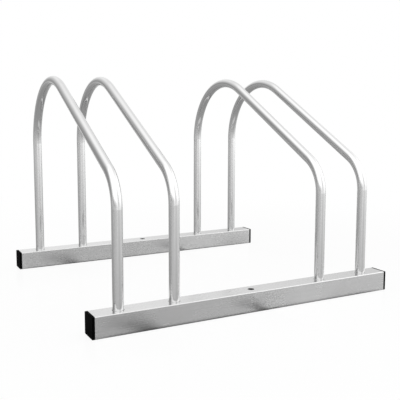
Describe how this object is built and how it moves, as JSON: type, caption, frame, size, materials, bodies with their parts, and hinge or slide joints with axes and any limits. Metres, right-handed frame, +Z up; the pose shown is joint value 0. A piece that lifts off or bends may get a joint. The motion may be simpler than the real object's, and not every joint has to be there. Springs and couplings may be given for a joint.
{
  "type": "floor bike rack",
  "caption": "Floor rack for bicycles: square steel rails with black end caps carry close pairs of bent tube hoops, and a wheel stands upright between the hoops of a pair.",
  "frame": {"origin": "on the floor, under the middle of the rack", "axes": "+X along the rails, to the right as seen from the low front, +Y from the front rail to the rear rail, +Z up"},
  "size_m": [0.41, 0.358, 0.286],
  "materials": {
    "rail_steel": "zinc coated square tube with faint lengthwise draw lines",
    "hoop_steel": "zinc coated round tube, satin, with faint lengthwise draw lines",
    "cap_plastic": "black moulded plastic with a fine grain",
    "plug_steel": "turned steel",
    "screw_steel": "bright zinc plated steel"
  },
  "bodies": {
    "root": {"rail_front": "rail_steel", "rail_rear": "rail_steel", "hoop_left_outer": "hoop_steel", "hoop_left_inner": "hoop_steel", "hoop_right_inner": "hoop_steel", "hoop_right_outer": "hoop_steel", "end_cap_front_left": "cap_plastic", "end_cap_front_right": "cap_plastic", "end_cap_rear_left": "cap_plastic", "end_cap_rear_right": "cap_plastic", "leg_plug_left_outer_front": "plug_steel", "leg_plug_left_outer_rear": "plug_steel", "leg_plug_left_inner_front": "plug_steel", "leg_plug_left_inner_rear": "plug_steel", "leg_plug_right_inner_front": "plug_steel", "leg_plug_right_inner_rear": "plug_steel", "leg_plug_right_outer_front": "plug_steel", "leg_plug_right_outer_rear": "plug_steel", "leg_screw_left_outer_front": "screw_steel", "leg_screw_left_outer_rear": "screw_steel", "leg_screw_left_inner_front": "screw_steel", "leg_screw_left_inner_rear": "screw_steel", "leg_screw_right_inner_front": "screw_steel", "leg_screw_right_inner_rear": "screw_steel", "leg_screw_right_outer_front": "screw_steel", "leg_screw_right_outer_rear": "screw_steel"}
  },
  "joints": []
}
